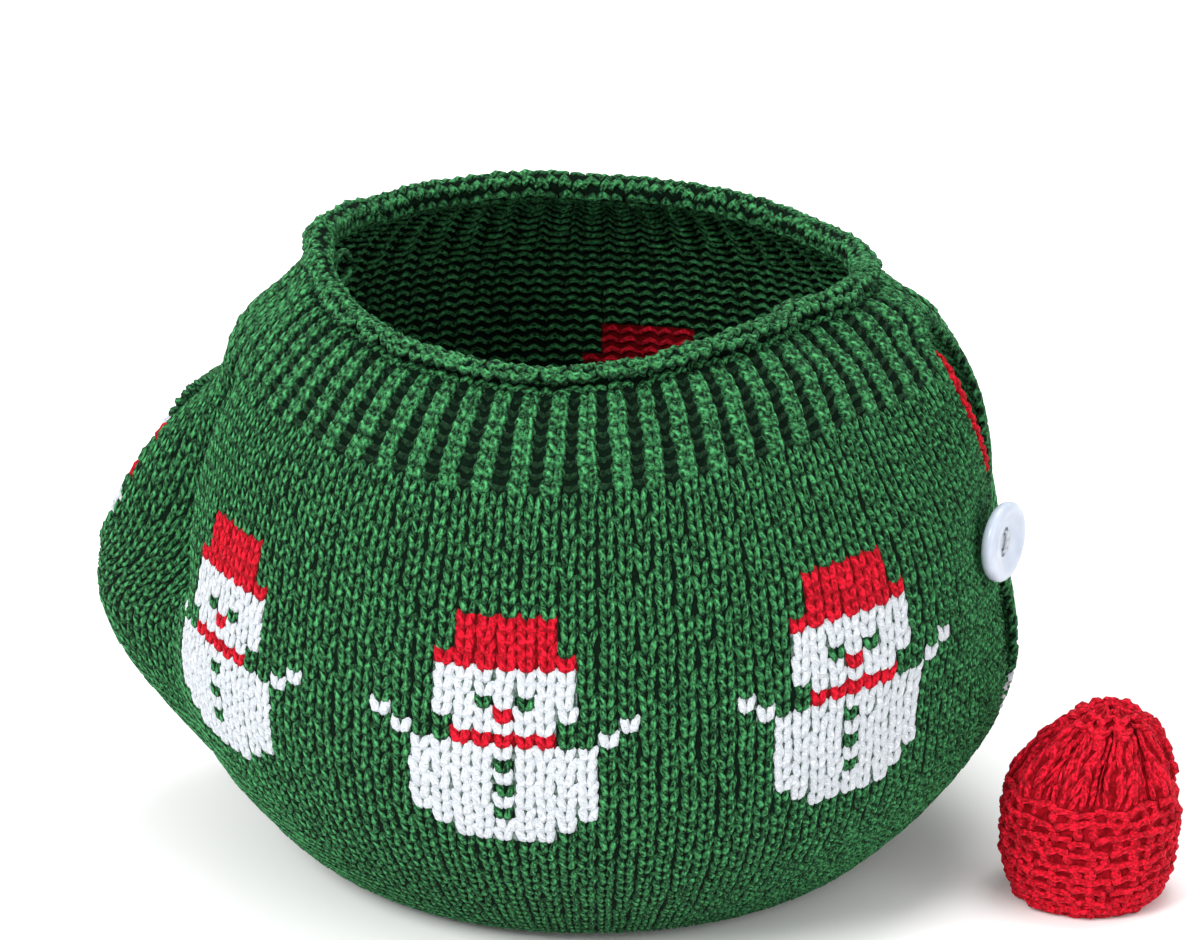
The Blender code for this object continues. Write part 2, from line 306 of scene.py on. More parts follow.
def clothGrid(side, columns, rows):
    # points of the cloth's middle in millimetres, at every column and row given in stitches
    knit = knitting
    lines = clothLines(side, columns)
    lengths = lengthAlong(lines, axis=1)
    lift, stretch = (curveThrough(knit["lift"], k)(columns)[:, None] for k in (1, 2))
    shift = (lift + stretch * (rows - knit["liftMiddle"])) * within(rows, *knit["liftRows"])
    wanted = lengths[:, -1:] * rows / knit["rows"] + shift
    grid = np.stack([pointsAt(*line) for line in zip(wanted, lengths, lines)])
    wale = np.cos(np.pi * (columns - 0.5))
    wale = np.where(wale > 0, wale * knit["ribHeight"], wale * knit["ribDepth"])
    lumps = (
        np.sin(columns * 0.71 + side)[:, None] * np.sin(rows * 0.53 + 1.3)
        + np.sin(columns[:, None] * 0.33 + rows * 0.41 + 2.1)
        + 0.6 * np.sin(columns[:, None] * 0.9 - rows * 0.77)
    )
    relief = wale[:, None] * within(rows, *knit["ribRows"])
    relief = relief + knit["lump"] * lumps * within(rows, *knit["lumpRows"])
    return grid + gridNormals(grid, side) * relief[:, :, None]


def addAttribute(mesh, name, values):
    kind, key = ("FLOAT", "value") if values.ndim == 1 else ("FLOAT_VECTOR", "vector")
    mesh.attributes.new(name, kind, "POINT").data.foreach_set(key, values.ravel())


def meshFromGrid(name, grid, outward=None, uv=None):
    # quads between the grid's points, in metres; a guide also keeps outward and uv
    wide, tall = grid.shape[:2]
    index = np.arange(wide * tall).reshape(wide, tall)
    corners = np.stack([index[:-1, :-1], index[1:, :-1], index[1:, 1:], index[:-1, 1:]], axis=2)
    corners = corners.reshape(-1, 4)
    mesh = bpy.data.meshes.new(name)
    mesh.from_pydata((grid.reshape(-1, 3) * mm).tolist(), [], corners.tolist())
    if outward is not None:
        addAttribute(mesh, "outward", outward)
        layer = mesh.uv_layers.new(name="clothMap")
        layer.data.foreach_set("uv", uv.reshape(-1, 2)[corners.ravel()].ravel())
    mesh.shade_smooth()
    return mesh


def meshFromBm(name, bm):
    mesh = bpy.data.meshes.new(name)
    bm.to_mesh(mesh)
    bm.free()
    return mesh


def newObject(name, data, materials=()):
    item = bpy.data.objects.new(name, data)
    bpy.context.scene.collection.objects.link(item)
    for material in materials:
        data.materials.append(material)
    return item


def discard(*objects):
    for item in objects:
        bpy.data.objects.remove(item, do_unlink=True)


def evaluatedMesh(item):
    bpy.context.view_layer.update()
    evaluated = item.evaluated_get(bpy.context.evaluated_depsgraph_get())
    return bpy.data.meshes.new_from_object(evaluated)


def thicken(sheet, thickness):
    body = sheet.modifiers.new("body", "SOLIDIFY")
    body.thickness = thickness * mm
    body.offset = 0.0


# ---- materials


def fill(tree, node, inputs):
    # another node's output is linked, and anything else is set as the value
    for key, value in inputs.items():
        if isinstance(value, bpy.types.NodeSocket):
            tree.links.new(value, node.inputs[key])
        else:
            node.inputs[key].default_value = value


def addNode(tree, kind, inputs=None, **settings):
    node = tree.nodes.new(kind)
    for key, value in settings.items():
        setattr(node, key, value)
    fill(tree, node, inputs or {})
    return node


def addMath(tree, operation, *values, clamp=False):
    inputs = dict(enumerate(values))
    node = addNode(tree, "ShaderNodeMath", inputs, operation=operation, use_clamp=clamp)
    return node.outputs[0]


def addVectorMath(tree, operation, *values):
    inputs = dict(zip((0, "Scale") if operation == "SCALE" else range(3), values))
    return addNode(tree, "ShaderNodeVectorMath", inputs, operation=operation).outputs[0]


def addNoise(tree, scale, detail, place=None, roughness=0.5):
    if place is None:
        place = addNode(tree, "ShaderNodeTexCoord").outputs["Object"]
    inputs = {"Vector": place, "Scale": scale, "Detail": detail, "Roughness": roughness}
    return addNode(tree, "ShaderNodeTexNoise", inputs).outputs[0]


def addSockets(tree, direction, kinds):
    for name, kind in kinds.items():
        tree.interface.new_socket(name, in_out=direction, socket_type="NodeSocket" + kind)


yarnForm = {
    "plies": 3.0,
    "winding": 1.6,  # turns of a ply along one strand
    "fibreScale": (3.4, 5.5),  # along and round the strand
    "fibreSlant": 2.5,
    "fibreShift": 90.0,  # from one stitch to the next
    "heatherScale": 260.0,
    "fuzzScale": 1150.0,
    "streak": 3.6,
    "plyShare": 0.22,
}


def makeYarnGroup():
    # plies that wind round each strand and loose fibres, with painted highlights where they stand
    # up, and painted shade low down between stitches
    form = yarnForm
    group = bpy.data.node_groups.new("spunYarn", "ShaderNodeTree")
    addSockets(group, "INPUT", {"Bright": "Color", "Shade Colour": "Color"})
    addSockets(group, "INPUT", dict.fromkeys(("Fibre Contrast", "Tone", "Shade Falloff"), "Float"))
    addSockets(group, "OUTPUT", {"Color": "Color", "Height": "Float"})
    given = addNode(group, "NodeGroupInput").outputs
    tone, depth = (
        addNode(group, "ShaderNodeAttribute", attribute_name=name).outputs["Fac"]
        for name in ("tone", "depth")
    )
    yarnMap = addNode(group, "ShaderNodeUVMap", uv_map="yarnMap").outputs[0]
    along, around, _ = addNode(group, "ShaderNodeSeparateXYZ", {0: yarnMap}).outputs

    def reckon(operation, *values, **options):
        return addMath(group, operation, *values, **options)

    plies = reckon("MULTIPLY", around, form["plies"])
    winding = reckon("MULTIPLY_ADD", along, form["winding"], plies)
    wave = reckon("SINE", reckon("MULTIPLY", winding, 2 * math.pi))
    ply = reckon("MULTIPLY_ADD", wave, 0.5, 0.5)
    alongScale, aroundScale = form["fibreScale"]
    slanted = reckon("MULTIPLY", around, aroundScale)
    fibrePlace = {
        0: reckon("MULTIPLY", along, alongScale),
        1: reckon("MULTIPLY_ADD", along, form["fibreSlant"], slanted),
        2: reckon("MULTIPLY", tone, form["fibreShift"]),
    }
    spun = addNode(group, "ShaderNodeCombineXYZ", fibrePlace).outputs[0]
    fibres = addNoise(group, 1.0, 3.0, spun, roughness=0.6)
    heather = addNoise(group, form["heatherScale"], 4.0)
    fuzz = addNoise(group, form["fuzzScale"], 2.0)
    loose = reckon("SUBTRACT", reckon("ADD", fibres, fuzz), 1.0)
    streak = reckon("MULTIPLY_ADD", loose, form["streak"], 0.5, clamp=True)
    streak = reckon("MULTIPLY", streak, 1 - form["plyShare"])
    height = reckon("ADD", reckon("MULTIPLY", ply, form["plyShare"]), streak)
    # painted highlight: where plies and fibres stand up, the colour goes towards the highlight
    # colour, partly the fibres' own mottling and partly painted highlight
    contrast = given["Fibre Contrast"]
    light = reckon("MULTIPLY_ADD", reckon("SUBTRACT", height, 0.5), contrast, 0.5)
    tint = reckon("SUBTRACT", reckon("ADD", tone, heather), 1.0)
    # painted shade: the depth attribute (height above the cloth) raised to this power darkens the
    # yarn low down between the stitches
    tint = reckon("MULTIPLY", tint, given["Tone"])
    shadeFalloff = reckon("POWER", depth, given["Shade Falloff"])
    amount = reckon("MULTIPLY", reckon("ADD", light, tint), shadeFalloff, clamp=True)
    colours = {"Factor": amount, "A": given["Shade Colour"], "B": given["Bright"]}
    mix = addNode(group, "ShaderNodeMix", colours, data_type="RGBA")
    addNode(group, "NodeGroupOutput", {"Color": mix.outputs["Result"], "Height": height})
    return group


yarnGroup = makeYarnGroup()


def newMaterial(name, roughness, specular):
    material = bpy.data.materials.new(name)
    material.use_nodes = True
    tree = material.node_tree
    shader = tree.nodes["Principled BSDF"]
    fill(tree, shader, {"Roughness": roughness, "Specular IOR Level": specular})
    return material, tree, shader


def addBump(tree, shader, height, strength, distance):
    inputs = {"Strength": strength, "Distance": distance, "Height": height}
    fill(tree, shader, {"Normal": addNode(tree, "ShaderNodeBump", inputs).outputs["Normal"]})


def makeYarn(name, highlightColour, deep, contrast, tone, shadeFalloff, sheen, sheenTint):
    # the first colour is the painted highlight on the yarn's tops, and deep is the painted shade
    # colour low between the stitches
    material, tree, shader = newMaterial(name, 0.8, 0.12)
    inputs = {
        "Bright": (*highlightColour, 1.0),
        "Shade Colour": (*deep, 1.0),
        "Fibre Contrast": contrast,
        "Tone": tone,
        "Shade Falloff": shadeFalloff,
    }
    spun = addNode(tree, "ShaderNodeGroup", inputs, node_tree=yarnGroup)
    surface = {
        "Base Color": spun.outputs["Color"],
        "Sheen Weight": sheen,
        "Sheen Roughness": 0.4,
        "Sheen Tint": (*sheenTint, 1.0),
    }
    fill(tree, shader, surface)
    addBump(tree, shader, spun.outputs["Height"], 0.9, 0.0005)
    return material


def makeCloudy(name, surface, scale, stops, bump):
    # two colours in soft patches
    material, tree, shader = newMaterial(name, *surface)
    noise = addNoise(tree, scale, 3.0)
    ramp = addNode(tree, "ShaderNodeValToRGB", {0: noise})
    for element, (position, colour) in zip(ramp.color_ramp.elements, stops):
        element.position = position
        element.color = (*colour, 1.0)
    fill(tree, shader, {"Base Color": ramp.outputs[0]})
    addBump(tree, shader, noise, *bump)
    return material


def makeShadedGround(name, colour, other):
    # the backs of the loops, seen only in the gaps between the stitches, and coloured dark there
    # as painted shade
    stops = ((0.4, other), (0.6, colour))
    return makeCloudy(name, (0.95, 0.1), 900.0, stops, (0.7, 0.0004))


yarnSettings = {
    # painted highlight colour and painted shade colour, contrast of the fibres, tone, painted
    # shade falloff, sheen and its tint
    "greenYarn": (
        (0.068, 0.355, 0.118), (0.0003, 0.007, 0.002), 1.1, 0.35, 1.9, 0.04, (0.5, 1.0, 0.6)
    ),
    "redYarn": (
        (0.980, 0.009, 0.036), (0.190, 0.000, 0.003), 0.9, 0.35, 1.35, 0.03, (1.0, 0.5, 0.5)
    ),
    "whiteYarn": (
        (0.810, 0.845, 0.880), (0.430, 0.460, 0.500), 0.45, 0.1, 0.7, 0.05, (1.0, 1.0, 1.0)
    ),
}
# the grounds' colours are painted shade: far darker than their yarns, as the gaps between stitches
# look, and grey with dark green patches under white
groundSettings = {
    "greenGroundShade": ((0.0005, 0.008, 0.003), (0.0003, 0.004, 0.001)),
    "redGroundShade": ((0.160, 0.001, 0.004), (0.080, 0.000, 0.001)),
    "whiteGroundShade": ((0.160, 0.190, 0.185), (0.015, 0.045, 0.025)),
}
yarns = [makeYarn(name, *values) for name, values in yarnSettings.items()]
grounds = [makeShadedGround(name, *values) for name, values in groundSettings.items()]
print("materials made")


# ---- the loops that are repeated

loopForm = {
    "unit": (4.15, 2.69),  # millimetres to a stitch and to a row
    "kneeRing": ((-1, -0.2), (-0.74, 0.64), (0, 1.0), (0.74, 0.64), (1, -0.2)),
    "flatRing": ((-1, -0.1), (-0.6, 0.95), (0.6, 0.95), (1, -0.1)),
    # across from the stitch's middle and up, in stitches and rows; half width and height in mm
    "leg": (
        (0.08, -0.22, 0.50, 0.20),
        (0.17, 0.20, 0.86, 1.05),
        (0.29, 0.82, 0.88, 1.00),
        (0.40, 1.32, 0.52, 0.22),
    ),
    "fullLeg": (
        (0.07, -0.24, 0.72, 0.30),
        (0.17, 0.20, 1.04, 1.10),
        (0.28, 0.84, 1.06, 1.05),
        (0.39, 1.38, 0.72, 0.30),
    ),
    "ribLeg": (
        (0.08, -0.24, 0.85, 0.25),
        (0.19, 0.18, 1.38, 1.10),
        (0.31, 0.80, 1.42, 1.05),
        (0.44, 1.34, 0.85, 0.25),
    ),
    "purl": (
        (-0.50, -0.20, 0.66, 0.95),
        (0.00, 0.24, 0.66, 1.00),
        (0.50, -0.20, 0.66, 0.95),
    ),
    "valley": (
        (-0.56, 0.06, 0.70, 0.70),
        (0.00, -0.06, 0.95, 0.60),
        (0.56, 0.06, 0.70, 0.70),
    ),
    "capBump": (
        (-0.54, 0.00, 1.05, 1.00),
        (-0.28, 0.10, 0.85, 1.30),
        (0.00, 0.18, 0.70, 1.40),
        (0.28, 0.10, 0.85, 1.30),
        (0.54, 0.00, 1.05, 1.00),
    ),
    "capPost": (
        (0.50, -0.85, 0.90, 0.70),
        (0.47, -0.50, 1.30, 1.05),
        (0.50, -0.10, 0.90, 0.80),
    ),
    "drawnLeg": (
        (0.20, -0.25, 0.50, 0.40),
        (0.24, 0.20, 0.72, 1.20),
        (0.26, 0.85, 0.72, 1.20),
        (0.30, 1.30, 0.50, 0.40),
    ),
    "rollBump": (
        (-0.54, -0.24, 0.80, 0.90),
        (-0.30, -0.08, 0.95, 0.95),
        (0.00, 0.16, 1.10, 1.15),
        (0.30, -0.08, 0.95, 0.95),
        (0.54, -0.24, 0.80, 0.90),
    ),
    # round an edge: across and up, height and radius in millimetres
    "wrap": (
        (0.50, -0.55, 0.20, 0.50),
        (0.16, -0.30, 0.75, 0.75),
        (-0.08, 0.05, 0.55, 0.85),
        (-0.14, 0.35, -0.05, 0.85),
        (0.04, 0.60, -0.60, 0.75),
        (0.45, 0.80, -0.40, 0.50),
    ),
}


def newStrands():
    bm = bmesh.new()
    bm.loops.layers.uv.new("yarnMap")
    # depth: how much painted shade each point gets in the yarn, lower is darker
    bm.verts.layers.float.new("depth")
    bm.verts.layers.float.new("tone")
    return bm


def skinRings(bm, rings, depths, tone=0.5):
    # closes a strand over its rings of points
    uvLayer = bm.loops.layers.uv["yarnMap"]
    depthLayer = bm.verts.layers.float["depth"]
    toneLayer = bm.verts.layers.float["tone"]
    made = []
    for ring, depthRow in zip(rings, depths):
        verts = [bm.verts.new(point) for point in ring]
        for vert, depth in zip(verts, depthRow):
            vert[depthLayer] = depth
            vert[toneLayer] = tone
        made.append(verts)
    count = len(rings[0])
    for k in range(len(made) - 1):
        for j in range(count):
            n = (j + 1) % count
            face = bm.faces.new((made[k][j], made[k + 1][j], made[k + 1][n], made[k][n]))
            for loop, corner in zip(face.loops, ((k, j), (k + 1, j), (k + 1, j + 1), (k, j + 1))):
                loop[uvLayer].uv = (corner[0] / (len(made) - 1), corner[1] / count)
    bm.faces.new(made[0])
    bm.faces.new(reversed(made[-1]))


def flatStrand(bm, path, ring, shade):
    # a half-round strand that lies on the cloth, in chart units
    unit = loopForm["unit"]
    places = np.array([(p[0] * unit[0], p[1] * unit[1]) for p in path])
    rings, depths = [], []
    for k, (_, _, half, height) in enumerate(path):
        ahead = places[min(k + 1, len(path) - 1)] - places[max(k - 1, 0)]
        ahead = ahead / np.hypot(*ahead)
        points = []
        for out, top in ring:
            x, y = places[k] + np.array((ahead[1], -ahead[0])) * out * half
            points.append((x / unit[0], y / unit[1], height * top + 0.1))
        rings.append(points)
        # painted shade: lower points and smaller shade factors make the yarn darker
        depths.append([min(max(point[2] * shade, 0.0), 1.0) for point in points])
    skinRings(bm, rings, depths)


# depth gives the whole strand one fixed painted shade, lower is darker
def roundStrand(bm, points, radii, reference, sides=6, unit=(1, 1, 1), depth=0.9, tone=0.5):
    turns = 2 * np.pi * np.arange(sides)[:, None] / sides
    tangents = unitVectors(np.gradient(points, axis=0))
    rings = []
    for point, tangent, radius in zip(points, tangents, np.broadcast_to(radii, len(points))):
        sideways = unitVectors(np.cross(tangent, reference))
        above = np.cross(sideways, tangent)
        ring = point + radius * (sideways * np.cos(turns) + above * np.sin(turns))
        rings.append((ring / unit).tolist())
    skinRings(bm, rings, [[depth] * sides] * len(rings), tone)


def strandsObject(name, bm, materials=()):
    bmesh.ops.recalc_face_normals(bm, faces=bm.faces)
    mesh = meshFromBm(name, bm)
    mesh.shade_smooth()
    return newObject(name, mesh, materials)


def loopObject(name, paths, paired, ring, shade):
    bm = newStrands()
    for path in paths:
        flatStrand(bm, loopForm[path], loopForm[ring], shade)
        if paired:
            mirrored = [(-p[0], *p[1:]) for p in loopForm[path]]
            flatStrand(bm, mirrored, loopForm[ring], shade)
    return strandsObject(name, bm)


def wrapObject():
    bm = newStrands()
    unit = (*loopForm["unit"], 1)
    wrap = np.array(loopForm["wrap"])
    roundStrand(bm, wrap[:, :3] * unit, wrap[:, 3], (0, 1, 0), sides=5, unit=unit, depth=0.8)
    return strandsObject("edgeWrap", bm)


# paths, whether they are mirrored as well, section, and a factor on the painted shade (below 1
# darker, above 1 lighter)
loopKinds = {
    "knitStitch": (("leg",), True, "kneeRing", 1.0),
    "fullStitch": (("fullLeg",), True, "kneeRing", 1.0),
    "ribStitch": (("ribLeg",), True, "kneeRing", 0.9),
    "purlStitch": (("purl",), False, "flatRing", 1.0),
    "valleyStitch": (("valley",), False, "flatRing", 0.42),
    "rollBump": (("rollBump",), False, "kneeRing", 1.0),
    "capBump": (("capBump", "capPost"), False, "kneeRing", 1.3),
    "drawnStitch": (("drawnLeg",), True, "kneeRing", 1.3),
}
loops = {name: loopObject(name, *kind) for name, kind in loopKinds.items()}
loops["edgeWrap"] = wrapObject()


def makeKnitTree():
    # sets a loop on every point of a flat chart, then lays the chart on the cloth by its map
    tree = bpy.data.node_groups.new("knitOntoCloth", "GeometryNodeTree")
    numbers = ("Map Width", "Map Height", "Margin", "Side", "Wobble")
    yarnNames = ("Ground Yarn", "Second Yarn", "Third Yarn")
    addSockets(tree, "OUTPUT", {"Geometry": "Geometry"})
    addSockets(tree, "INPUT", {"Geometry": "Geometry", "Cloth": "Object", "Loop": "Object"})
    addSockets(tree, "INPUT", dict.fromkeys(numbers, "Float"))
    addSockets(tree, "INPUT", {"Seed": "Int", "Turn Faces": "Bool"})
    addSockets(tree, "INPUT", dict.fromkeys(yarnNames, "Material"))
    given = addNode(tree, "NodeGroupInput").outputs

    def uneven(low, high, seedShift):
        inputs = {0: low, 1: high, "Seed": addMath(tree, "ADD", given["Seed"], seedShift)}
        node = addNode(tree, "FunctionNodeRandomValue", inputs, data_type="FLOAT_VECTOR")
        return addVectorMath(tree, "SCALE", node.outputs[0], given["Wobble"])

    def chartValue(name, kind="FLOAT_VECTOR"):
        node = addNode(tree, "GeometryNodeInputNamedAttribute", {"Name": name}, data_type=kind)
        return node.outputs["Attribute"]

    def objectShape(name):
        inputs = {"Object": given[name]}
        node = addNode(tree, "GeometryNodeObjectInfo", inputs, transform_space="ORIGINAL")
        return node.outputs["Geometry"]

    moved = {"Geometry": given["Geometry"], "Offset": uneven((-1, -1, 0), (1, 1, 0), 1)}
    turn = addVectorMath(tree, "ADD", chartValue("turn"), uneven((0, 0, -1), (0, 0, 1), 2))
    size = chartValue("size")
    stretch = uneven((-1, -1, -1), (1, 1, 1), 3)
    instances = {
        "Points": addNode(tree, "GeometryNodeSetPosition", moved).outputs[0],
        "Instance": objectShape("Loop"),
        "Rotation": turn,
        "Scale": addVectorMath(tree, "MULTIPLY_ADD", stretch, size, size),
    }
    placed = addNode(tree, "GeometryNodeInstanceOnPoints", instances).outputs[0]
    seed = {"Seed": given["Seed"]}
    toneValue = addNode(tree, "FunctionNodeRandomValue", seed, data_type="FLOAT").outputs[1]
    toned = addNode(
        tree,
        "GeometryNodeStoreNamedAttribute",
        {"Geometry": placed, "Name": "tone", "Value": toneValue},
        data_type="FLOAT",
        domain="INSTANCE",
    )
    realized = addNode(tree, "GeometryNodeRealizeInstances", {0: toned.outputs[0]}).outputs[0]

    position = addNode(tree, "GeometryNodeInputPosition").outputs[0]
    flat = addNode(tree, "ShaderNodeSeparateXYZ", {0: position}).outputs
    mapPlace = addNode(tree, "ShaderNodeCombineXYZ")
    for axis, extent in enumerate(("Map Width", "Map Height")):
        place = addMath(tree, "ADD", flat[axis], given["Margin"])
        fill(tree, mapPlace, {axis: addMath(tree, "DIVIDE", place, given[extent])})
    cloth = objectShape("Cloth")

    def onCloth(value):
        inputs = {
            "Mesh": cloth,
            "Value": value,
            "UV Map": chartValue("clothMap"),
            "Sample UV": mapPlace.outputs[0],
        }
        node = addNode(tree, "GeometryNodeSampleUVSurface", inputs, data_type="FLOAT_VECTOR")
        return node.outputs["Value"]

    rise = addMath(tree, "MULTIPLY", addMath(tree, "MULTIPLY", flat[2], mm), given["Side"])
    raised = addVectorMath(tree, "SCALE", onCloth(chartValue("outward")), rise)
    onto = {
        "Geometry": realized,
        "Position": addVectorMath(tree, "ADD", onCloth(position), raised),
    }
    laid = addNode(tree, "GeometryNodeSetPosition", onto).outputs[0]
    turned = addNode(tree, "GeometryNodeFlipFaces", {0: laid}).outputs[0]
    choice = {"Switch": given["Turn Faces"], "False": laid, "True": turned}
    finished = addNode(tree, "GeometryNodeSwitch", choice, input_type="GEOMETRY").outputs[0]
    yarn = chartValue("yarn", "FLOAT")
    for number, name in enumerate(yarnNames):
        inputs = {
            "Geometry": finished,
            "Selection": addMath(tree, "COMPARE", yarn, number, 0.5),
            "Material": given[name],
        }
        finished = addNode(tree, "GeometryNodeSetMaterial", inputs).outputs[0]
    addNode(tree, "NodeGroupOutput", {0: finished})
    return tree


knitTree = makeKnitTree()
knitItems = knitTree.interface.items_tree
knitInputs = {item.name: item.identifier for item in knitItems if item.in_out == "INPUT"}


def knitPiece(name, chart, guide, loop, seed, wobble=1.0, inward=False):
    # chart rows: across, up, yarn, and if need be width, length and thickness factors and turn
    usual = (1.0, 1.0, 1.0, 0.0)
    chart = np.array([(*row, *usual[len(row) - 3 :]) for row in chart], dtype=float)
    mesh = bpy.data.meshes.new(name)
    mesh.from_pydata([(x, y, 0) for x, y in chart[:, :2]], [], [])
    addAttribute(mesh, "yarn", chart[:, 2])
    addAttribute(mesh, "size", chart[:, 3:6])
    addAttribute(mesh, "turn", chart[:, 6:] * (0, 0, 1))
    host = newObject(name + "Chart", mesh)
    knit = host.modifiers.new("knit", "NODES")
    knit.node_group = knitTree
    values = {
        "Cloth": guide,
        "Loop": loops[loop],
        "Map Width": guide["wide"] + 2 * knitting["margin"],
        "Map Height": guide["tall"] + 2 * knitting["margin"],
        "Margin": knitting["margin"],
        "Side": -1.0 if inward else 1.0,
        "Wobble": knitting["wobble"] * wobble,
        "Seed": knitting["seed"] + seed,
        "Turn Faces": bool(guide["mirrored"]) != inward,
        "Ground Yarn": yarns[0],
        "Second Yarn": yarns[1],
        "Third Yarn": yarns[2],
    }
    for key, value in values.items():
        knit[knitInputs[key]] = value
    made = evaluatedMesh(host)
    made.name = name
    discard(host)
    return newObject(name, made)


def knitOver(name, kinds, charts, guide):
    pieces = [knitPiece(name + part, charts[part], guide, *kind) for part, kind in kinds.items()]
    discard(guide)
    return pieces


def makeGuide(name, grid, side, wide, tall):
    shares = [np.linspace(0, 1, count) for count in grid.shape[:2]]
    uv = np.stack(np.meshgrid(*shares, indexing="ij"), axis=2)
    guide = newObject(name, meshFromGrid(name, grid, gridNormals(grid, side), uv))
    guide["wide"] = wide
    guide["tall"] = tall
    guide["mirrored"] = side > 0
    return guide


# ---- the two panels


def yarnChart():
    chart = np.zeros((knitting["columns"], knitting["rows"] + 1), dtype=int)
    for start in knitting["motifColumns"]:
        for up, line in enumerate(reversed(snowFigure)):
            for across, letter in enumerate(line):
                chart[start + across, knitting["motifRow"] + up] = yarnNumber[letter]
    return chart


motif = yarnChart()

# loop, seed, unevenness, whether on the inside
panelKinds = {
    "KnitLower": ("knitStitch", 0),
    "KnitUpper": ("knitStitch", 1),
    "Figures": ("fullStitch", 2),
    "Ribs": ("ribStitch", 3),
    "RibValleys": ("valleyStitch", 5),
    "UnderRoll": ("rollBump", 9, 2.5),
    "WrongSide": ("purlStitch", 6, 1.0, True),
    "NeckRoll": ("rollBump", 7, 2.5, True),
    "Edges": ("edgeWrap", 8, 1.5),
}

edging = {
    # heights in millimetres and the stranded yarn that shows there, or None for no loops
    "frontHandle": ((86.0, 114.0, None), (34.0, 42.0, 2)),
    "frontSpout": ((80.0, 83.0, 1), (87.0, 89.5, 1), (72.0, 79.0, 2)),
    "backHandle": ((26.0, 31.0, 2), (36.0, 40.0, 2)),
    "backSpout": ((74.0, 79.0, 2),),
}


def guideGrid(side):
    stepAcross, stepUp, margin = 0.25, 0.5, knitting["margin"]
    columns = np.arange(0, knitting["columns"] + 0.1, stepAcross)
    rows = np.arange(0, knitting["rows"] + 0.1, stepUp)
    grid = extended(clothGrid(side, columns, rows), int(margin / stepAcross), 0)
    return extended(grid, int(margin / stepUp), 1)


def makeClothSheet(name, side):
    columns = np.arange(0, knitting["columns"] + 0.25, 0.5)
    rows = np.arange(0, knitting["rows"] + 0.5, 1.0)
    mesh = meshFromGrid(name, clothGrid(side, columns, rows))
    if side > 0:
        mesh.flip_normals()
    sheet = newObject(name, mesh, grounds)
    cells = np.repeat(motif[:, : knitting["rows"]], 2, axis=0)
    mesh.polygons.foreach_set("material_index", cells.ravel().astype(np.int32))
    thicken(sheet, 0.9)
    return sheet


def edgeChart(name, side):
    # a loop round the edge at the end of every row
    rows = np.arange(knitting["rows"]) + 0.5
    chart = []
    for column, turn, which in ((0.0, 0.0, "Spout"), (knitting["columns"], math.pi, "Handle")):
        heights = clothGrid(side, np.array([column, column + 0.01]), rows)[0, :, 2]
        for row, height in zip(rows, heights):
            yarn = 0
            for low, high, other in edging[name + which]:
                if low <= height <= high:
                    yarn = other
            if yarn is not None:
                chart.append((column, row, yarn, 1.0, 1.0, 1.0, turn))
    return chart


def makePanel(name, side):
    knit = knitting
    guide = makeGuide(name + "Guide", guideGrid(side), side, knit["columns"], knit["rows"])
    sheet = makeClothSheet(name + "Cloth", side)
    charts = {part: [] for part in panelKinds}
    charts["Edges"] = edgeChart(name, side)
    for row in range(knit["rows"]):
        for column in range(knit["columns"]):
            yarn = motif[column, row]
            middle = column + 0.5
            ribbed = knit["ribFirst"] <= row <= knit["ribLast"]
            if ribbed and column % 2:
                charts["RibValleys"].append((middle, row + 0.5, yarn))
            elif ribbed:
                charts["Ribs"].append((middle, row, yarn, 1.0, 1.0, 0.95))
            elif row > knit["ribLast"]:
                charts["UnderRoll"].append((middle, row + 0.5, yarn, 1.0, 1.0, 0.9))
            else:
                half = "KnitLower" if row < knit["rows"] // 2 else "KnitUpper"
                width, thickness = (1.05, 0.85) if yarn == yarnNumber["w"] else (1.0, 1.0)
                stitch = (middle, row, yarn, width, 1.0, thickness)
                charts["Figures" if yarn else half].append(stitch)
            if row > knit["ribLast"]:
                charts["NeckRoll"].append((middle, row + 0.4, yarn))
                if row == knit["rows"] - 1:  # the last row's chain
                    charts["NeckRoll"].append((middle, row + 1.1, yarn, 1.0, 1.0, 0.9))
            else:
                charts["WrongSide"].append((middle, row + 0.5, yarn))
    return sheet, knitOver(name, panelKinds, charts, guide)


def dressNode(sheet, pieces, node):
    for piece in (sheet, *pieces):
        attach(piece, "root")
    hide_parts(node)


for name, node, side in (("front", "front_panel", -1), ("back", "back_panel", 1)):
    sheet, pieces = makePanel(name, side)
    dressNode(sheet, pieces, node)

# ---- the sewn side seams, the red cord and the end of yarn at the neck

sewing = {
    "from": 6.0,
    "step": 3.4,  # millimetres from one stitch to the next
    "widest": 2.5,  # between edges that are still sewn
    "inset": 0.6,  # stitches to the column that gives the edge its normals
    "reach": 1.7,  # into each panel
    "slant": (0.9, 0.5),
    "radius": 0.55,
    "bulge": 0.9,
    # painted shade of the seam stitches' yarn, lower is darker
    "depth": 0.62,
    # along the stitch and up from the seam
    "path": ((-1.0, -0.2), (-0.5, 0.9), (0.0, 1.15), (0.5, 0.9), (1.0, -0.2)),
}


def seamLine(column, side):
    inset = sewing["inset"] if column == 0 else -sewing["inset"]
    columns = sorted((column, column + inset))
    grid = clothGrid(side, np.array(columns), np.linspace(3, knitting["rows"] - 1, 220))
    return grid[columns.index(column)]


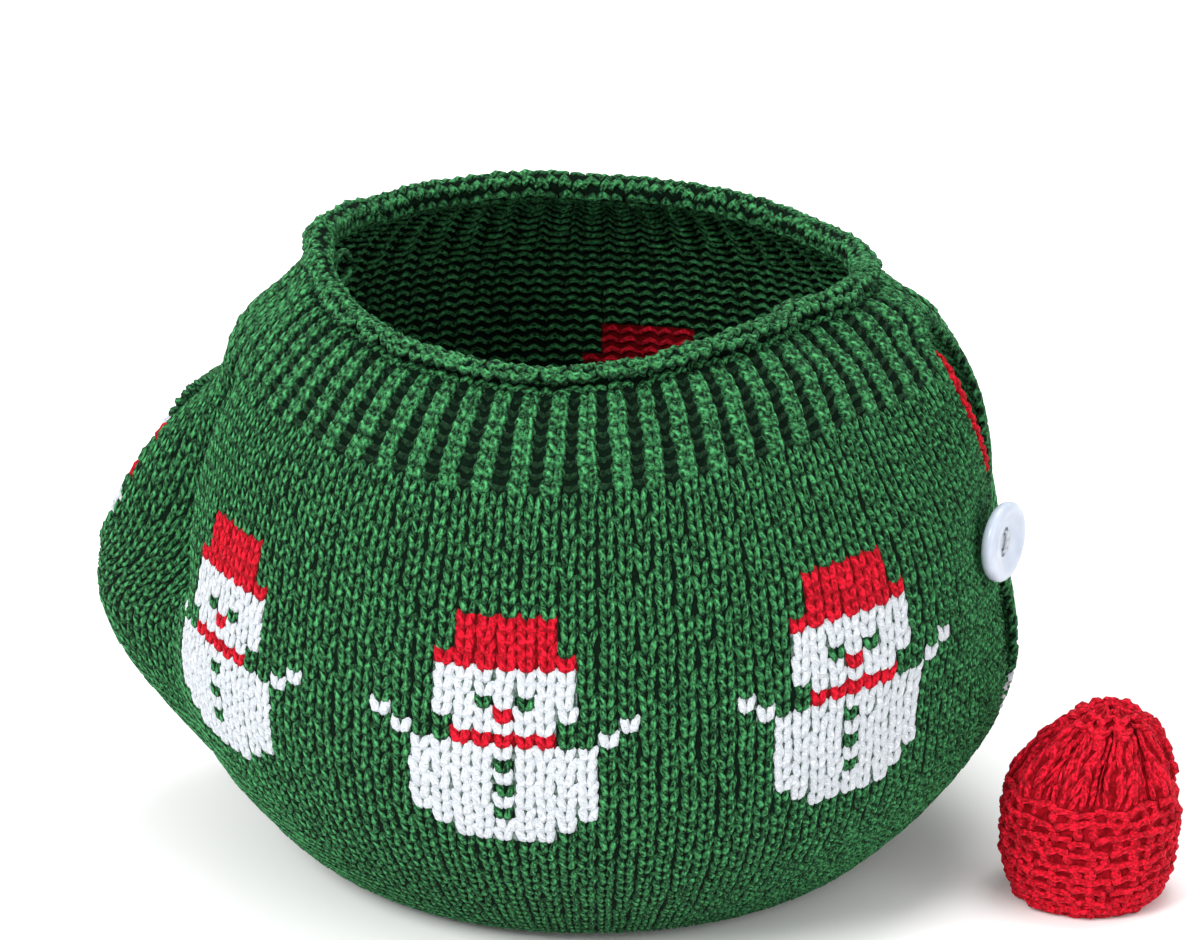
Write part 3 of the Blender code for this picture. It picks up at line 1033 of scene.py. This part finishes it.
def sewSeams():
    bm = newStrands()
    draw = np.random.default_rng(4)
    least, more = sewing["slant"]
    radius, depth = sewing["radius"] * mm, sewing["depth"]
    for column in (0, knitting["columns"]):
        front, rear = seamLine(column, -1), seamLine(column, 1)
        lift = np.array((-1.0 if column == 0 else 1.0, 0, 0.25)) * sewing["bulge"]
        nextHeight = sewing["from"]
        for a in front:
            b = rear[np.argmin(np.abs(rear[:, 2] - a[2]))]
            if a[2] < nextHeight or abs(b[1] - a[1]) > sewing["widest"]:
                continue
            nextHeight = a[2] + sewing["step"]
            across = np.array((0, sewing["reach"], least + more * draw.random()))
            points = [(a + b) / 2 + across * along + lift * up for along, up in sewing["path"]]
            points = np.array(points) * mm
            roundStrand(bm, points, radius, (1, 0, 0), depth=depth, tone=draw.random())
    return strandsObject("seamStitches", bm, [yarns[0]])


# Two twisted ends of red that are carried up the front panel's edge beside the handle
cord = {
    "heights": (87.0, 114.0),
    "rows": (30, 55.8),
    "radius": 0.68,
    "swing": 0.8,
    "beside": 0.2,  # the edge, and above it
    "above": 0.9,
    "twist": 5.5,  # millimetres to a turn
    "step": 0.7,
    "taper": (5.0, 0.35),  # length, and thickness at the very end
    "strandSteps": 5,  # one strand's map to a few millimetres
}


def redCord():
    last = knitting["columns"]
    firstRow, lastRow = cord["rows"]
    rows = np.linspace(firstRow, knitting["rows"], 500)
    inner, edge = clothGrid(-1, np.array([last - 0.5, last]), rows)
    low, high = cord["heights"]
    kept = (edge[:, 2] >= low) & (edge[:, 2] <= high) & (rows < lastRow)
    line = edge[kept]
    beyond = unitVectors(line - inner[kept])
    above = np.cross(beyond, unitVectors(np.gradient(line, axis=0)))
    lengths = lengthAlong(line)
    places = np.linspace(0, lengths[-1], int(lengths[-1] / cord["step"]))
    centre, sideways, upwards = (pointsAt(places, lengths, v) for v in (line, beyond, above))
    taperLength, tip = cord["taper"]
    toEnd = np.minimum(places, lengths[-1] - places)
    taper = np.minimum(1.0, toEnd / taperLength + tip)[:, None]
    swing = cord["radius"] * cord["swing"] * taper
    radii = cord["radius"] * taper[:, 0] * mm
    bm = newStrands()
    for start in (0.0, math.pi):
        turn = (places / cord["twist"] * 2 * math.pi + start)[:, None]
        points = centre + sideways * (cord["beside"] + swing * np.cos(turn))
        points = (points + upwards * (cord["above"] + swing * np.sin(turn))) * mm
        for k in range(0, len(points) - 1, cord["strandSteps"]):
            part = slice(k, k + cord["strandSteps"] + 1)
            roundStrand(bm, points[part], radii[part], (0, 1, 0.2), depth=0.85)
    return strandsObject("redCord", bm, [yarns[1]])


def yarnEnd():
    # the loop of yarn left inside the neck at the spout seam
    bm = newStrands()
    turns = np.linspace(0.2, 2 * math.pi * 0.93, 18)[:, None]
    centre = np.array((clothShape["axisX"] - 52.2, -3.4, 124.4))
    points = centre + np.cos(turns) * (1.2, 2.9, 0.0) + np.sin(turns) * (0.0, 0.0, 3.4)
    roundStrand(bm, points * mm, 0.75 * mm, (1, -0.3, 0), depth=0.75)
    return strandsObject("yarnEnd", bm, [yarns[0]])


for piece in (sewSeams(), redCord(), yarnEnd()):
    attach(piece, "root")
print("seams sewn")

# ---- the knob cover

capShape = {
    "fromAxis": (108.5, -16.0),
    "leanTowards": 11.5,  # degrees
    "hemRadii": (11.0, 12.6, 14.2),
    "hemHeight": 1.2,
    "gathers": 9,
    "extraGather": 0.06,
    "columns": 26,
    "ridges": 18,
    "hemRidges": 3,  # these are finer
    "drawnFrom": 10,  # the ridges give way to drawn stitches
    "drawnTo": 15,
    "drawnLong": (1.05, 1.5),
    "drawnThick": (0.7, 1.25),
    "drawnSkew": 0.2,  # radians that a drawn stitch leans at most
    # height, radius, lean, gather
    "levels": (
        (3.2, 15.4, 0.0, 0.0),
        (7.5, 16.9, 0.0, 0.0),
        (13.0, 17.6, 0.0, 0.0),
        (19.0, 17.7, 0.2, 0.0),
        (24.5, 16.4, 0.4, 0.02),
        (29.5, 14.1, 1.3, 0.05),
        (34.0, 11.2, 2.6, 0.08),
        (38.0, 7.8, 3.7, 0.11),
        (40.6, 4.4, 4.2, 0.12),
        (41.2, 0.8, 4.2, 0.0),
    ),
}

capKinds = {
    "Ridges": ("capBump", 20, 2.4),
    "Drawn": ("drawnStitch", 21, 1.8),
    "Inside": ("purlStitch", 22, 1.5, True),
}


def capGrid(columns, rows):
    shape = capShape
    hem = [(shape["hemHeight"], radius, 0.0, 0.0) for radius in shape["hemRadii"]]
    profile = np.array(hem + list(shape["levels"]))
    lengths = lengthAlong(profile[:, :2])
    table = np.column_stack([lengths, profile])
    wanted = rows / shape["ridges"] * lengths[-1]
    height, radius, lean, gather = (curveThrough(table, k)(wanted) for k in range(1, 5))
    past = np.minimum(wanted, 0) + np.maximum(wanted - lengths[-1], 0)
    radius = radius - np.abs(past)
    angle = 2 * np.pi * columns[:, None] / shape["columns"]
    gathered = gather + shape["extraGather"] * easeBetween(height, 20, 30)
    lumps = 0.35 * np.sin(angle * 5 + height * 0.5) * np.sin(height * 0.33 + 2 * angle)
    reach = radius * (1 + gathered * np.cos(shape["gathers"] * angle))
    reach = reach + lumps * easeBetween(height, 3, 9)
    towards = math.radians(shape["leanTowards"])
    fromAxis, aside = shape["fromAxis"]
    x = clothShape["axisX"] + fromAxis + lean * math.cos(towards) - reach * np.cos(angle)
    y = aside + lean * math.sin(towards) - reach * np.sin(angle)
    return np.stack([x, y, np.broadcast_to(height, x.shape)], axis=2)


def makeCapSheet(name, ends):
    mesh = meshFromGrid(name, capGrid(*(np.arange(0, end + 0.1, 0.5) for end in ends)))
    bm = bmesh.new()
    bm.from_mesh(mesh)
    bmesh.ops.remove_doubles(bm, verts=bm.verts, dist=0.00001)
    bm.to_mesh(mesh)
    bm.free()
    # a darker red for the cap's ground, as painted shade in its holes
    ground = makeShadedGround("capGroundShade", (0.250, 0.001, 0.006), (0.130, 0.000, 0.002))
    sheet = newObject(name, mesh, [ground])
    thicken(sheet, 0.8)
    return sheet


def makeKnobCover():
    shape = capShape
    margin = knitting["margin"]
    ends = (shape["columns"], shape["ridges"])
    grid = capGrid(*(np.arange(-margin, end + margin + 0.05, 0.25) for end in ends))
    guide = makeGuide("capGuide", grid, -1, *ends)
    sheet = makeCapSheet("knobCoverCloth", ends)
    charts = {part: [] for part in capKinds}
    draw = np.random.default_rng(6)
    for ridge in range(shape["ridges"]):
        every = 1 if ridge < shape["drawnTo"] else 2
        for column in range(0, shape["columns"], every):
            place = (column + every / 2 + 0.12 * (ridge % 3), ridge + 0.5)
            if shape["drawnFrom"] <= ridge < shape["drawnTo"]:
                long, thick = draw.uniform(*shape["drawnLong"]), draw.uniform(*shape["drawnThick"])
                skew = draw.uniform(-shape["drawnSkew"], shape["drawnSkew"])
                charts["Drawn"].append((column + 0.5, ridge, 1, 1.1, long, thick, skew))
            else:
                charts["Ridges"].append((*place, 1, every, 1.0, 1.0))
            if ridge < shape["hemRidges"]:
                charts["Ridges"].append((place[0] + 0.5, ridge, 1, every, 0.7, 0.8))
            charts["Inside"].append((*place, 1, every, 1.0, 0.9))
    return sheet, knitOver("knobCover", capKinds, charts, guide)


sheet, pieces = makeKnobCover()
dressNode(sheet, pieces, "knob_cover")

# ---- the button

buttonShape = {
    "facing": 70.8,  # degrees from the front
    "thickness": 3.2,
    "segments": 64,
    "holeRadius": 0.9,
    "holeSpacing": 4.6,
    "holeTurn": 14.0,  # degrees that the two holes lean
    "fishEye": (1.5, 4.2, 0.6),  # half width, half length and depth of the hollow at the holes
    "faceHeight": 2.4,  # the hollow is only in the face, within its raised edge
    "faceRadius": 6.0,
    # radius and height of the section, from the middle of the face round to that of the back
    "section": (
        (0.0, 2.45),
        (1.0, 2.45),
        (2.2, 2.46),
        (3.6, 2.5),
        (4.8, 2.6),
        (5.7, 2.82),
        (6.4, 3.08),
        (7.0, 3.2),
        (7.6, 3.14),
        (8.1, 2.9),
        (8.4, 2.5),
        (8.5, 1.9),
        (8.4, 1.2),
        (8.0, 0.6),
        (7.2, 0.2),
        (6.0, 0.0),
        (3.0, 0.0),
        (0.0, 0.0),
    ),
    "threadRadius": 0.36,
    "threadShifts": (-0.42, 0.05, 0.45),
    "threadHeight": 2.15,  # at the mouths of the holes
    "threadRise": 0.55,
    "threadDive": 19.0,  # how steeply it goes down them
}


def makeButtonMaterial():
    # a white button, coloured grey-blue all over as painted shade
    stops = ((0.35, (0.40, 0.45, 0.54)), (0.7, (0.52, 0.57, 0.66)))
    material = makeCloudy("buttonWhite", (0.35, 0.5), 160.0, stops, (0.15, 0.0002))
    tree = material.node_tree
    fill(tree, tree.nodes["Principled BSDF"], {"Coat Weight": 0.3, "Coat Roughness": 0.2})
    return material


def layOnPanel(mesh):
    # puts it where the solid lies, and turns its face the way that the solid's looks
    low, high = (Vector(corner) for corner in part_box("button"))
    facing = math.radians(buttonShape["facing"])
    normal = Vector((math.sin(facing), -math.cos(facing), 0.0))
    sideways = Vector((math.cos(facing), math.sin(facing), 0.0))
    back = (low + high) / 2 - normal * buttonShape["thickness"] / 2 * mm
    turn = Matrix(((*sideways,), (0, 0, 1), (*normal,))).transposed().to_4x4()
    mesh.transform(Matrix.Translation(back) @ turn)


def buttonDisc():
    shape = buttonShape
    count = shape["segments"]
    lean = math.radians(shape["holeTurn"])
    wide, long, deep = shape["fishEye"]
    bm = bmesh.new()
    rings = []
    for radius, height in shape["section"]:
        isFace = height > shape["faceHeight"] and radius < shape["faceRadius"]
        ring = []
        for k in range(count if radius else 1):
            turn = 2 * math.pi * k / count
            u, v = radius * math.cos(turn + lean), radius * math.sin(turn + lean)
            press = deep * math.exp(-((u / wide) ** 2) - (v / long) ** 4) if isFace else 0.0
            point = (radius * math.cos(turn), radius * math.sin(turn), height - press)
            ring.append(bm.verts.new(point))
        rings.append(ring)
    for low, high in zip(rings, rings[1:]):
        for k in range(count):
            n = (k + 1) % count
            corners = [low[k % len(low)], low[n % len(low)]]
            corners += [high[n % len(high)], high[k % len(high)]]
            bm.faces.new(list(dict.fromkeys(corners)))
    bmesh.ops.recalc_face_normals(bm, faces=bm.faces)
    return newObject("sewnButton", meshFromBm("sewnButton", bm), [makeButtonMaterial()])


def makeButton():
    # drilled in millimetres, so that no small face is lost
    shape = buttonShape
    disc = buttonDisc()
    lean = math.radians(shape["holeTurn"])
    bore = shape["holeRadius"]
    cutters = []
    for along in (-shape["holeSpacing"] / 2, shape["holeSpacing"] / 2):
        bm = bmesh.new()
        bmesh.ops.create_cone(bm, cap_ends=True, segments=20, radius1=bore, radius2=bore, depth=12)
        place = (along * math.sin(lean), along * math.cos(lean), 0)
        bmesh.ops.translate(bm, vec=place, verts=bm.verts)
        cutters.append(newObject("holeCutter", meshFromBm("holeCutter", bm)))
        hole = disc.modifiers.new("hole", "BOOLEAN")
        hole.operation = "DIFFERENCE"
        hole.object = cutters[-1]
    drilled = evaluatedMesh(disc)
    discard(disc, *cutters)
    bm = bmesh.new()
    bm.from_mesh(drilled)
    bmesh.ops.remove_doubles(bm, verts=bm.verts, dist=0.02)
    bmesh.ops.dissolve_degenerate(bm, edges=bm.edges, dist=0.01)
    bmesh.ops.triangulate(bm, faces=bm.faces)
    bmesh.ops.scale(bm, vec=(mm, mm, mm), verts=bm.verts)
    bm.to_mesh(drilled)
    bm.free()
    layOnPanel(drilled)
    drilled.shade_smooth()
    drilled.set_sharp_from_angle(angle=math.radians(50))
    return newObject("sewnButton", drilled)


def makeButtonThread():
    shape = buttonShape
    lean = math.radians(shape["holeTurn"])
    along = np.array((math.sin(lean), math.cos(lean), 0))
    beside = np.array((math.cos(lean), -math.sin(lean), 0))
    bm = newStrands()
    for shift in shape["threadShifts"]:
        points = []
        for t in np.linspace(-1.0, 1.0, 13):
            height = shape["threadHeight"]
            if abs(t) < 0.8:
                height += shape["threadRise"] * math.cos(t * 0.5 * math.pi)
            else:
                height -= shape["threadDive"] * (abs(t) - 0.8)
            spread = along * np.clip(t * 1.25, -1, 1) * shape["holeSpacing"] / 2
            points.append(spread + beside * shift * (1 - 0.3 * abs(t)) + (0, 0, height))
        roundStrand(bm, np.array(points) * mm, shape["threadRadius"] * mm, beside, depth=0.95)
    thread = strandsObject("buttonThread", bm, [yarns[2]])
    layOnPanel(thread.data)
    return thread


button, thread = makeButton(), makeButtonThread()
for piece in (button, thread):
    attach(piece, "root")
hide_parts("button")
print("button sewn on")

# ---- floor, light and camera

studio = {
    "floor": (0.93, 0.93, 0.93),
    "floorSize": 4.0,
    "world": 0.85,
    "lampsAim": (0, 0, 0.06),
    # name, place, power, size
    "lamps": (
        ("softKey", (-0.9, -1.3, 1.35), 34.0, 0.8),
        ("softFill", (1.3, -1.0, 0.7), 10.0, 1.2),
        ("softTop", (0.1, 0.4, 1.6), 14.0, 1.0),
    ),
}


def makeFloor():
    bm = bmesh.new()
    bmesh.ops.create_grid(bm, x_segments=4, y_segments=4, size=studio["floorSize"])
    material, tree, shader = newMaterial("paleFloor", 0.9, 0.1)
    fill(tree, shader, {"Base Color": (*studio["floor"], 1.0)})
    newObject("studioFloor", meshFromBm("studioFloor", bm), [material])


def lightScene():
    world = bpy.data.worlds.new("studioWorld")
    world.use_nodes = True
    background = world.node_tree.nodes["Background"]
    fill(world.node_tree, background, {0: (1, 1, 1, 1), 1: studio["world"]})
    bpy.context.scene.world = world
    for name, place, power, size in studio["lamps"]:
        light = bpy.data.lights.new(name, "AREA")
        light.energy = power
        light.size = size
        lamp = newObject(name, light)
        lamp.location = place
        aim = Vector(studio["lampsAim"]) - Vector(place)
        lamp.rotation_euler = aim.to_track_quat("-Z", "Y").to_euler()


cameraView = {
    "azimuth": 10.0,
    "elevation": 21.5,
    "distance": 1.6,
    "lens": 228.5,
    "aim": (-9.35, 0.0, 81.3),
}


def placeCamera():
    view = cameraView
    azimuth, elevation = math.radians(view["azimuth"]), math.radians(view["elevation"])
    flat = math.cos(elevation)
    back = Vector((math.sin(azimuth) * flat, -math.cos(azimuth) * flat, math.sin(elevation)))
    camera = newObject("camera", bpy.data.cameras.new("camera"))
    camera.location = Vector(view["aim"]) * mm + back * view["distance"]
    camera.rotation_euler = back.to_track_quat("Z", "Y").to_euler()
    camera.data.lens = view["lens"]
    camera.data.sensor_width = 36.0
    camera.data.clip_start = 0.05
    bpy.context.scene.camera = camera


makeFloor()
lightScene()
placeCamera()
bpy.context.scene.view_settings.view_transform = "Standard"
discard(*loops.values())

print("scene done")
